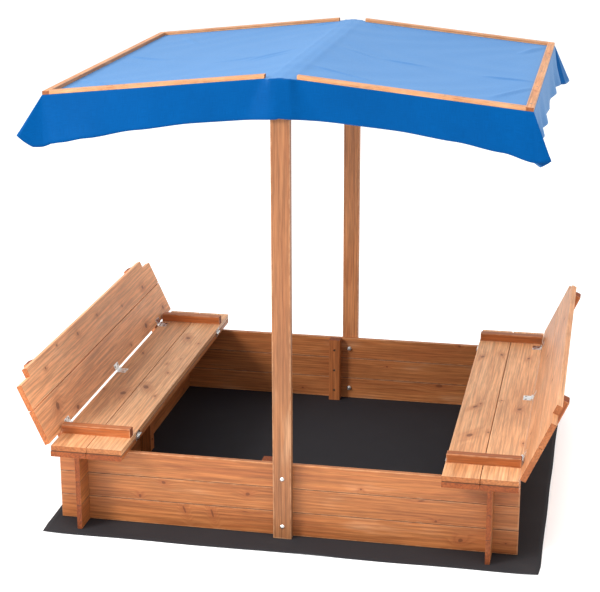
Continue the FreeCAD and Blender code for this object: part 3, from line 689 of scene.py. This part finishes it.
def screw_set(node, body, pattern, metal):
    """One piece with a detailed screw in the place of each screw of a CAD node."""
    draw = random.Random(node)
    shape = np.array([vertex.co for vertex in pattern.vertices])
    pattern_faces = [list(face.vertices) for face in pattern.polygons]
    points, faces = [], []
    for head, axis, length in screw_axes(node):
        turn = Vector(-axis).to_track_quat("Z", "Y").to_matrix()
        turn = turn @ Matrix.Rotation(draw.uniform(0, 1.57), 3, "Z")
        local = shape.copy()
        tip = local[:, 2] < -0.5
        local[tip, 2] += 1.0 - (length - SCREW_POINT)
        first = len(shape) * len(points)
        points.append(local @ np.array(turn).T + head)
        faces.extend([[index + first for index in face] for face in pattern_faces])
    mesh = bpy.data.meshes.new(f"{node}_cross_recess")
    mesh.from_pydata(np.concatenate(points).tolist(), [], faces)
    mesh.materials.append(metal)
    piece = add_object(f"{node}_cross_recess", mesh)
    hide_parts(node)
    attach(piece, body)


def finish_metal():
    """Bright leaves and bolts; the screws have gone dull."""
    bright = zinc_plate("bright_zinc", (0.93, 0.92, 0.90))
    dull = zinc_plate("dull_zinc", (0.36, 0.30, 0.24))
    for name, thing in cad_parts.items():
        if "leaves" in name or name in ("post_bolts", "post_washers", "post_nuts"):
            thing.data.materials[0] = bright
    pattern = screw_mesh()
    screw_set("canopy_screws", "root", pattern, dull)
    screw_set("frame_screws", "root", pattern, dull)
    for side in SIDE_WAY:
        screw_set(f"{side}_seat_screws", f"{side}_seat", pattern, dull)
        screw_set(f"{side}_back_screws", f"{side}_back", pattern, dull)


# ---- Canopy cloth ----

def roof_plane(x, depth=CLOTH_DEPTH):
    """Height of the roof plane a depth below the top faces of the strips."""
    return RIDGE_TOP - depth / math.cos(ROOF_PITCH) - math.tan(ROOF_PITCH) * np.abs(x)


# The frame's outer faces and the heights that carry the cloth, with a little play.
strip_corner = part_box("canopy_eave_strips")[1]
post_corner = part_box("rear_post")[1]
beam_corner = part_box("ridge_beam")[1]
CLOTH_PLAY = 0.0009
FRAME_X = strip_corner.x
FRAME_Y = strip_corner.y
EDGE_X = FRAME_X + CLOTH_PLAY
EDGE_Y = FRAME_Y + CLOTH_PLAY
POST_FACE = post_corner.y
HEAD_CLOTH = post_corner.z + CLOTH_PLAY
BEAM_CLOTH = beam_corner.z + CLOTH_PLAY
BEAM_HALF = beam_corner.x + 0.001
RAFTER_THICK = 0.0210

# How the cloth settles: turns of relaxing, its overshoot and the pull of its weight.
SETTLE_TURNS = 700
OVERSHOOT = 1.9
WEIGHT_PULL = 5.5e-6
RAFTER_DIP = 0.0002
RIPPLE_HEIGHT = 0.0011
RIPPLE_FADE = 0.05
CREASE_FADE = 0.006
EDGE_ROLL = 0.0004

# The skirt stands off in front of a post, over a width that grows towards the hem.
BULGE_START = 0.004
BULGE_STOP = (0.040, 0.055)
CREST_X = -0.010
CREST_HALF = 0.060
CREST_HEIGHT = 0.010

# How the skirt hangs round each corner, in steps from the middle of the front or rear
# run, through the corner, to the middle of the side run: place, lean to the front or
# rear, lean to the side, length. Places are metres along a run, and the quarter turn
# at the corner takes TURN_SPAN.
TURN_SPAN = 0.10
TURN_STEPS = 26
SKIRT_LEVELS = (0.03, 0.10, 0.19, 0.29, 0.39, 0.49, 0.59, 0.69, 0.79, 0.875, 0.93, 1.0)
SKIRT = {
    ("front", "left"): (
        (-0.60, 0.04, 0.00, 0.0950), (-0.38, 0.12, 0.00, 0.0935), (-0.24, 0.19, 0.00, 0.1005),
        (-0.11, 0.24, -0.05, 0.112), (-0.03, 0.22, -0.16, 0.118), (0.00, 0.20, -0.22, 0.120),
        (0.025, 0.21, -0.06, 0.125), (0.047, 0.25, 0.14, 0.128), (0.064, 0.345, 0.478, 0.116),
        (0.078, 0.12, 0.42, 0.114), (0.10, -0.16, 0.14, 0.111), (0.13, -0.14, 0.12, 0.109),
        (0.20, -0.03, 0.24, 0.102), (0.29, 0.02, 0.10, 0.096), (0.39, -0.02, 0.22, 0.094),
        (0.50, 0.02, 0.12, 0.093), (0.70, 0.00, 0.18, 0.093)),
    ("front", "right"): (
        (-0.60, 0.04, 0.00, 0.0940), (-0.44, -0.02, 0.00, 0.0900), (-0.32, -0.03, 0.00, 0.0890),
        (-0.18, 0.04, 0.00, 0.0940), (-0.07, 0.14, 0.02, 0.1030), (0.00, 0.20, 0.06, 0.1165),
        (0.020, 0.21, 0.22, 0.118), (0.036, 0.20, 0.385, 0.1195), (0.048, 0.05, 0.16, 0.129),
        (0.070, -0.06, 0.04, 0.120), (0.10, -0.10, 0.16, 0.108), (0.13, -0.06, 0.26, 0.098),
        (0.17, 0.02, 0.08, 0.088), (0.24, 0.03, 0.24, 0.085), (0.31, -0.02, 0.08, 0.084),
        (0.40, 0.03, 0.24, 0.085), (0.50, 0.00, 0.10, 0.087), (0.70, 0.00, 0.18, 0.090)),
    ("rear", "right"): (
        (-0.60, 0.10, 0.00, 0.0955), (-0.38, 0.10, 0.00, 0.0935), (-0.24, 0.10, 0.00, 0.0995),
        (-0.11, 0.15, -0.04, 0.108), (-0.03, 0.17, -0.10, 0.113), (0.00, 0.17, -0.12, 0.115),
        (0.025, 0.21, -0.02, 0.118), (0.045, 0.26, 0.20, 0.122), (0.060, 0.28, 0.38, 0.120),
        (0.078, 0.06, 0.30, 0.118), (0.10, -0.14, 0.14, 0.111), (0.13, -0.12, 0.12, 0.105),
        (0.20, -0.03, 0.26, 0.098), (0.29, 0.02, 0.10, 0.092), (0.39, -0.02, 0.24, 0.089),
        (0.50, 0.02, 0.10, 0.087), (0.70, 0.00, 0.18, 0.090)),
}
SKIRT["rear", "left"] = SKIRT["front", "right"]

# Soft creases in the roof: ends of each, height and half width.
CREASES = (
    (-0.19, -0.11, -0.07, 0.01, 0.0035, 0.007), (-0.17, -0.13, -0.06, -0.05, 0.0026, 0.006),
    (-0.30, -0.10, -0.12, -0.03, 0.0022, 0.008), (0.03, -0.29, 0.20, -0.37, 0.0031, 0.007),
    (0.05, 0.04, 0.18, -0.04, 0.0026, 0.007), (0.15, -0.01, 0.30, -0.04, 0.0029, 0.007),
    (0.575, -0.20, 0.48, -0.40, 0.0053, 0.009), (0.575, -0.12, 0.43, -0.08, 0.0044, 0.009),
    (0.575, 0.49, 0.50, 0.30, 0.0044, 0.010), (-0.575, -0.30, -0.45, -0.42, 0.0040, 0.009),
    (-0.575, 0.10, -0.42, 0.02, 0.0035, 0.010), (-0.04, -0.50, -0.10, -0.44, 0.0035, 0.005),
    (0.04, -0.50, 0.12, -0.46, 0.0035, 0.005), (-0.04, 0.50, -0.12, 0.44, 0.0035, 0.005),
    (0.04, 0.50, 0.10, 0.43, 0.0035, 0.005), (-0.50, 0.45, -0.42, 0.30, 0.0031, 0.009),
)


def spaced(*stops):
    """Coordinates through the stops, each span cut into the steps given after it."""
    spans = zip(stops[::2], stops[1::2], stops[2::2])
    parts = [np.linspace(start, stop, steps, endpoint=False) for start, steps, stop in spans]
    half = np.append(np.concatenate(parts), stops[-1])
    return np.concatenate((-half[:0:-1], half))


def eased(at, table, column):
    """Value of a table's column at a place, easing between its steps."""
    steps = [row[0] for row in table]
    right = min(max(np.searchsorted(steps, at), 1), len(steps) - 1)
    share = min(max((at - steps[right - 1]) / (steps[right] - steps[right - 1]), 0.0), 1.0)
    share = share * share * (3 - 2 * share)
    return table[right - 1][column] * (1 - share) + table[right][column] * share


def crease_height(x, y):
    """Height that the creases add to the roof at each point."""
    total = np.zeros_like(x)
    for x0, y0, x1, y1, height, width in CREASES:
        run = np.array((x1 - x0, y1 - y0))
        share = ((x - x0) * run[0] + (y - y0) * run[1]) / (run @ run)
        away = np.hypot(x - x0 - share * run[0], y - y0 - share * run[1])
        fade = np.clip(share, 0, 1) * np.clip(1 - share, 0, 1) * 4 * (abs(share - 0.5) < 0.5)
        total += height * fade * np.exp(-(away / width) ** 2)
    return total


def roof_heights(x, y):
    """Cloth pulled taut over the frame: it settles between the strips and the posts."""
    plane = roof_plane(x)
    far_x, far_y = np.abs(x), np.abs(y)
    inside_x = FRAME_X - STRIP_WIDTH - far_x
    inside_y = FRAME_Y - STRIP_WIDTH - far_y
    under_strip = (inside_y < NEAR) & (far_x > STRIP_START - NEAR)
    under_strip |= inside_x < NEAR
    over_post = far_x < POST_HALF + NEAR
    on_head = over_post & (far_y > FRAME_Y - NEAR)
    taut = over_post & ~on_head & ~under_strip
    head = np.maximum(np.where(far_x < BEAM_HALF, BEAM_CLOTH, plane), HEAD_CLOTH)
    height = np.where(on_head, head, plane)
    height = np.where(taut, np.maximum(np.minimum(plane, BEAM_CLOTH), HEAD_CLOTH), height)
    floor = np.where(far_y > FRAME_Y - RAFTER_THICK, plane - RAFTER_DIP, -1.0)
    red = (np.add.outer(np.arange(x.shape[0]), np.arange(x.shape[1])) % 2) == 0
    loose = ~(under_strip | on_head | taut)
    loose[0, :] = loose[-1, :] = loose[:, 0] = loose[:, -1] = False
    for _ in range(SETTLE_TURNS):
        for colour in (red, ~red):
            around = np.zeros_like(height)
            around[1:-1, 1:-1] = (height[:-2, 1:-1] + height[2:, 1:-1]
                                  + height[1:-1, :-2] + height[1:-1, 2:]) / 4
            moved = height + OVERSHOOT * (around - WEIGHT_PULL - height)
            height = np.where(colour & loose, np.maximum(moved, floor), height)
    ripple = np.sin(x * 31 + 3 * np.sin(y * 9)) * np.sin(y * 23 + 2 * np.sin(x * 7))
    ripple *= RIPPLE_HEIGHT * np.clip(inside_x / RIPPLE_FADE, 0, 1)
    ripple *= np.clip(inside_y / RIPPLE_FADE, 0, 1)
    rise = crease_height(x, y) * np.clip(inside_x / CREASE_FADE, 0, 1)
    rise *= np.clip(inside_y / CREASE_FADE, 0, 1)
    return np.where(under_strip | on_head, height, height + rise + ripple)


def head_bulge(x, fall):
    """How far the skirt stands out in front of a post, wider towards the hem."""
    start = POST_HALF + BULGE_START * fall
    stop = BULGE_STOP[0] + BULGE_STOP[1] * fall
    share = np.clip((stop - np.abs(x)) / (stop - start), 0, 1)
    crest = np.clip(1 - np.abs(x - CREST_X) / CREST_HALF, 0, 1)
    return (POST_FACE - FRAME_Y) * share ** 1.3 + CREST_HEIGHT * crest * fall ** 0.6


def skirt_stations(columns, rows):
    """Places round the edge: root point, its corner's names and place in that table."""
    count_x, count_y = len(columns), len(rows)
    stations = []
    tour = (("front", range(count_x), ("front", "right")),
            ("right", range(count_y), ("rear", "right")),
            ("rear", range(count_x)[::-1], ("rear", "left")),
            ("left", range(count_y)[::-1], ("front", "left")))
    for run, indices, corner in tour:
        for index in indices:
            if run in END_WAY:
                root = index * count_y + (0 if run == "front" else count_y - 1)
                side = "left" if columns[index] < 0 else "right"
                stations.append((root, run, side, abs(columns[index]) - columns[-1]))
            else:
                root = (count_x - 1 if run == "right" else 0) * count_y + index
                end = "front" if rows[index] < 0 else "rear"
                stations.append((root, end, run, TURN_SPAN + rows[-1] - abs(rows[index])))
        turns = np.linspace(0, TURN_SPAN, TURN_STEPS + 2)[1:-1]
        if run in SIDE_WAY:
            turns = turns[::-1]
        stations.extend((stations[-1][0], *corner, place) for place in turns)
    return stations


def hang_skirt(points, flats, stations):
    """Skirt points down from each root, their places in the flat cut and the hem's share."""
    hung, hung_flats, hem = [], [], []
    for root, end, side, place in stations:
        lean_y, lean_x, length = (eased(place, SKIRT[end, side], column) for column in (1, 2, 3))
        length += points[root][2] - roof_plane(points[root][0])
        way = np.array((SIDE_WAY[side], END_WAY[end]))
        lean = np.array((lean_x, lean_y)) * way
        drop = math.sqrt(max(1.0 - float(lean @ lean), 0.2))
        turn = min(max(place / TURN_SPAN, 0.0), 1.0) * math.pi / 2
        spread = np.array((math.sin(turn), math.cos(turn)))
        cut = SKIRT_CUT / max(spread)
        for fall in SKIRT_LEVELS:
            point = points[root] + np.array((*(lean * length * fall), -drop * length * fall))
            if place < 0:
                shift = head_bulge(points[root][0], fall) - head_bulge(points[root][0], 0.0)
                point[1] += way[1] * shift
            hung.append(point)
            hung_flats.append(flats[root] + spread * way * cut * fall)
            hem.append(1.0 if fall * cut > cut - HEM_WIDTH - NEAR else 0.0)
    return np.array(hung), np.array(hung_flats), np.array(hem)


def canopy_mesh():
    """One uncut sheet: the roof grid, then a skirt hung from its edge all round."""
    columns = spaced(0.0, 4, POST_HALF, 3, STRIP_START, 72, FRAME_X - STRIP_WIDTH, 3,
                     FRAME_X, 1, EDGE_X)
    rows = spaced(0.0, 68, FRAME_Y - STRIP_WIDTH, 3, FRAME_Y, 1, EDGE_Y)
    x, y = np.meshgrid(columns, rows, indexing="ij")
    z = roof_heights(x, y)
    flats = np.stack((x, y), -1).reshape(-1, 2)
    outermost = np.abs(y) > FRAME_Y + NEAR
    y = np.where(outermost, y + np.sign(y) * head_bulge(x, 0.0), y)
    z = np.where(outermost, z - EDGE_ROLL, z)
    points = np.stack((x, y, z), -1).reshape(-1, 3)
    faces = grid_faces(len(columns), len(rows))
    stations = skirt_stations(columns, rows)
    hung, hung_flats, hem = hang_skirt(points, flats, stations)
    levels = len(SKIRT_LEVELS)
    lines = [(station[0], *range(len(points) + index * levels, len(points) + (index + 1) * levels))
             for index, station in enumerate(stations)]
    for here, there in zip(lines, lines[1:] + lines[:1]):
        for level in range(levels):
            ring = (here[level], here[level + 1], there[level + 1], there[level])
            faces.append(tuple(dict.fromkeys(ring)))
    hem = np.concatenate((np.zeros(len(points)), hem))
    return np.concatenate((points, hung)), faces, np.concatenate((flats, hung_flats)), hem


DEEP_DYE = (0.000, 0.060, 0.214, 1)
LIGHT_DYE = (0.000, 0.067, 0.236, 1)
GRAZING_SHEEN_BLUE = (0.098, 0.228, 0.450, 1)


def canopy_fabric():
    """Blue woven polyester: dyed unevenly, with a faint weave and a painted sheen that turns it paler
    at grazing angles.
    """
    made, tree, shader = new_material("canopy_fabric", (0.01, 0.15, 0.5))
    flat = tree.node("ShaderNodeUVMap", uv_map="flat_cut").outputs[0]
    weave = tree.use(PLAIN_WEAVE, {"Flat": flat, "Pitch": 0.0009})
    cloud = tree.noise(tree.vector("SCALE", flat, 7.0), 1.0, 3.0)
    tone = tree.mix(tree.step(cloud, 0.3, 0.7), DEEP_DYE, LIGHT_DYE)
    # Painted sheen: the blue turns paler where the cloth is seen at a grazing angle.
    grazing_sheen = tree.node("ShaderNodeLayerWeight", {"Blend": 0.5}).outputs["Facing"]
    tone = tree.mix(tree.step(grazing_sheen, 0.20, 0.95), tone, GRAZING_SHEEN_BLUE)
    tone = tree.mix(1.0, tone, tree.step(weave["Slub"], 0.35, 0.65, 0.90, 1.08), "MULTIPLY")
    tree.feed(shader.inputs["Base Color"], tone)
    rough = tree.math("MULTIPLY_ADD", weave["Slub"], 0.12, 0.42)
    tree.feed(shader.inputs["Roughness"], rough)
    height = tree.math("MULTIPLY_ADD", weave["Slub"], 0.8, weave["Height"])
    relief(tree, shader, height, 0.12, 0.0002)
    shader.inputs["Specular IOR Level"].default_value = 0.03
    return made


def build_canopy():
    """The cloth as one piece, doubled at the hem, over the frame."""
    points, faces, flats, hem_share = canopy_mesh()
    mesh = bpy.data.meshes.new("canopy_cover")
    mesh.from_pydata(points.tolist(), [], faces)
    layer = mesh.uv_layers.new(name="flat_cut")
    corners = np.empty(len(mesh.loops), int)
    mesh.loops.foreach_get("vertex_index", corners)
    layer.data.foreach_set("uv", flats[corners].astype(np.float32).ravel())
    mesh.polygons.foreach_set("use_smooth", [True] * len(mesh.polygons))
    mesh.materials.append(canopy_fabric())
    cover = add_object("canopy_cover", mesh)
    hem = cover.vertex_groups.new(name="hem")
    hem.add([int(i) for i in np.nonzero(hem_share)[0]], 1.0, "REPLACE")
    thick = cover.modifiers.new("cloth_thickness", "SOLIDIFY")
    thick.thickness = HEM_THICK
    thick.offset = 0.0
    thick.vertex_group = "hem"
    thick.thickness_vertex_group = CLOTH_THICK / HEM_THICK
    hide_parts("canopy_cloth")
    rests = ["front_post", "rear_post", "ridge_beam", "left_eave_bar", "right_eave_bar"]
    rests += [f"{end}_{side}_rafter" for end in END_WAY for side in SIDE_WAY]
    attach(cover, "root")


# ---- Ground cloth ----

GROUND_TOP = 0.0013
GROUND_THICK = 0.0010
GROUND_GRID = (108, 102)
PRESSED_BLACK = (0.013, 0.012, 0.014, 1)
RAISED_BLACK = (0.024, 0.022, 0.025, 1)
DRY_DUST = (0.045, 0.041, 0.040, 1)

# Free cloth ripples once it is RIPPLE_GAP clear of the wood, fully after RIPPLE_RISE.
RIPPLE_GAP = 0.008
RIPPLE_RISE = 0.05
GROUND_RIPPLE = 0.0008
BATTEN_DEPTH = 0.031

# Cut edges waver inside EDGE_BAND, and corners are drawn in over CORNER_REACH.
EDGE_BAND = 0.02
EDGE_WAVER = (0.0006, 0.0012)
CORNER_REACH = 0.048
CORNER_PULL = 0.0036


def felt():
    """Black non-woven cloth: pressed fibres, a little dust."""
    made, tree, shader = new_material("ground_felt", (0.02, 0.02, 0.02))
    spot = tree.node("ShaderNodeTexCoord").outputs["Object"]
    fibres = tree.noise(spot, 900.0, 4.0, 0.7)
    cells = tree.node("ShaderNodeTexVoronoi", {"Vector": spot, "Scale": 420.0})
    dust = tree.noise(spot, 6.0, 5.0, 0.65)
    tone = tree.mix(tree.step(fibres, 0.35, 0.7), PRESSED_BLACK, RAISED_BLACK)
    tone = tree.mix(tree.step(dust, 0.5, 0.85, 0.0, 0.25), tone, DRY_DUST)
    tree.feed(shader.inputs["Base Color"], tone)
    tree.feed(shader.inputs["Roughness"], tree.step(fibres, 0.2, 0.8, 0.72, 0.95))
    height = tree.math("MULTIPLY_ADD", cells.outputs["Distance"], 0.6, fibres)
    relief(tree, shader, height, 0.5, 0.0005)
    shader.inputs["Specular IOR Level"].default_value = 0.3
    return made


def ground_heights(x, y):
    """Top of the cloth: flat where the box stands, gently rippled where it is free."""
    away = np.full(x.shape, 9.0)
    for name in ("front_wall_board_1", "rear_wall_board_1", "left_wall_board_1",
                 "right_wall_board_1", "front_post", "rear_post"):
        low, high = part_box(name)
        out_x = np.maximum(np.maximum(low.x - x, x - high.x), 0)
        out_y = np.maximum(np.maximum(low.y - y, y - high.y), 0)
        away = np.minimum(away, np.hypot(out_x, out_y))
    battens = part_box("wall_battens")[1]
    inward = np.minimum(battens.y - np.abs(y), battens.x - np.abs(x))
    clear = np.where(inward > 0, np.maximum(inward - BATTEN_DEPTH, 0), away)
    free = np.clip((np.minimum(away, clear) - RIPPLE_GAP) / RIPPLE_RISE, 0, 1)
    free = free * free * (3 - 2 * free)
    wave = np.sin(x * 17 + 2.2 * np.sin(y * 5.1)) * np.sin(y * 11 + 1.7 * np.sin(x * 7.3) + 1.0)
    wave += 0.6 * np.sin(x * 5.1 + y * 29 + 2.0 * np.sin(x * 3.3))
    wave += 0.3 * np.sin(x * 47 + 3 * np.sin(y * 13))
    return GROUND_TOP + free * np.maximum(GROUND_RIPPLE * (wave + 1.0), -0.0002)


def build_ground():
    """The black cloth under the box, a little wavy along its cut edges."""
    low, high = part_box("ground_sheet")
    across, along = high.x - low.x, high.y - low.y
    share_x, share_y = np.meshgrid(*(np.linspace(0, 1, count) for count in GROUND_GRID),
                                   indexing="ij")
    x = low.x + share_x * across
    y = low.y + share_y * along
    near_x = np.minimum(share_x, 1 - share_x) * across
    near_y = np.minimum(share_y, 1 - share_y) * along
    pull = CORNER_PULL * np.clip(1 - near_x / CORNER_REACH, 0, 1)
    pull *= np.clip(1 - near_y / CORNER_REACH, 0, 1)
    x += np.where(share_x < 0.5, pull, -pull)
    x += EDGE_WAVER[0] * np.sin(y * 19) * (near_x < EDGE_BAND)
    y += np.where(share_y < 0.5, pull, -pull)
    y += EDGE_WAVER[1] * np.sin(x * 15 + 1) * (near_y < EDGE_BAND)
    points = np.stack((x, y, ground_heights(x, y)), -1).reshape(-1, 3)
    mesh = bpy.data.meshes.new("ground_cloth")
    mesh.from_pydata(points.tolist(), [], grid_faces(*GROUND_GRID))
    mesh.polygons.foreach_set("use_smooth", [True] * len(mesh.polygons))
    mesh.materials.append(felt())
    cloth = add_object("ground_cloth", mesh)
    thick = cloth.modifiers.new("cloth_thickness", "SOLIDIFY")
    thick.thickness = GROUND_THICK
    thick.offset = -1.0
    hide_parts("ground_sheet")
    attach(cloth, "root")


# ---- Stage, light and camera ----

FLOOR_REACH = 60.0
FLOOR_DROP = 0.0004
LIGHT_AIM = (0, 0, 0.4)

# Camera: how far it is turned round the box, raised and tilted, and where it stands.
CAMERA_TURN = 0.1979
CAMERA_RISE = 0.3037
CAMERA_TILT = -0.0021
CAMERA_PLACE = (0.7782, -4.1728, 1.8224)
CAMERA_LENS = 95.55


def build_floor():
    """A wide, plain, pale floor just under the ground cloth."""
    corners = [(-1, -1), (1, -1), (1, 1), (-1, 1)]
    mesh = bpy.data.meshes.new("floor")
    mesh.from_pydata([(x * FLOOR_REACH, y * FLOOR_REACH, 0) for x, y in corners],
                     [], [(0, 1, 2, 3)])
    made, tree, shader = new_material("pale_floor", (0.9, 0.9, 0.9))
    shader.inputs["Base Color"].default_value = (0.93, 0.93, 0.93, 1)
    shader.inputs["Roughness"].default_value = 0.9
    shader.inputs["Specular IOR Level"].default_value = 0.1
    shader.inputs["Emission Color"].default_value = (1, 1, 1, 1)
    shader.inputs["Emission Strength"].default_value = 0.18
    mesh.materials.append(made)
    floor = add_object("floor", mesh)
    floor.location.z = -FLOOR_DROP


def soft_light(name, place, aim, size, power):
    """Round soft light of a given size and power, pointed at a place."""
    lamp = bpy.data.lights.new(name, "AREA")
    lamp.shape = "DISK"
    lamp.size = size
    lamp.energy = power
    thing = add_object(name, lamp)
    thing.location = place
    thing.rotation_euler = (Vector(aim) - Vector(place)).to_track_quat("-Z", "Y").to_euler()


def light_studio():
    """White surroundings, a key light to the left and a wide light overhead."""
    scene = bpy.context.scene
    scene.world = bpy.data.worlds.new("studio")
    scene.world.use_nodes = True
    sky = scene.world.node_tree.nodes["Background"]
    sky.inputs["Color"].default_value = (1, 1, 1, 1)
    sky.inputs["Strength"].default_value = 0.92
    soft_light("key", (-3.7, -3.5, 3.3), LIGHT_AIM, size=2.0, power=280.0)
    soft_light("top", (0.9, -1.6, 7.4), LIGHT_AIM, size=4.0, power=310.0)
    scene.view_settings.view_transform = "Standard"


def place_camera():
    """Camera a little above the canopy, looking down across the box."""
    back = Vector((math.sin(CAMERA_TURN) * math.cos(CAMERA_RISE),
                   -math.cos(CAMERA_TURN) * math.cos(CAMERA_RISE), math.sin(CAMERA_RISE)))
    level = (-back).cross(Z_AXIS).normalized()
    upright = level.cross(-back)
    right = level * math.cos(CAMERA_TILT) + upright * math.sin(CAMERA_TILT)
    up = upright * math.cos(CAMERA_TILT) - level * math.sin(CAMERA_TILT)
    lens = bpy.data.cameras.new("camera")
    lens.sensor_width = 36.0
    lens.lens = CAMERA_LENS
    lens.clip_end = 200.0
    camera = add_object("camera", lens)
    turn = Matrix((right, up, back)).transposed().to_4x4()
    camera.matrix_world = Matrix.Translation(CAMERA_PLACE) @ turn
    bpy.context.scene.camera = camera


place_camera()
light_studio()
build_floor()
finish_timber()
finish_metal()
build_canopy()
build_ground()

bpy.context.view_layer.update()
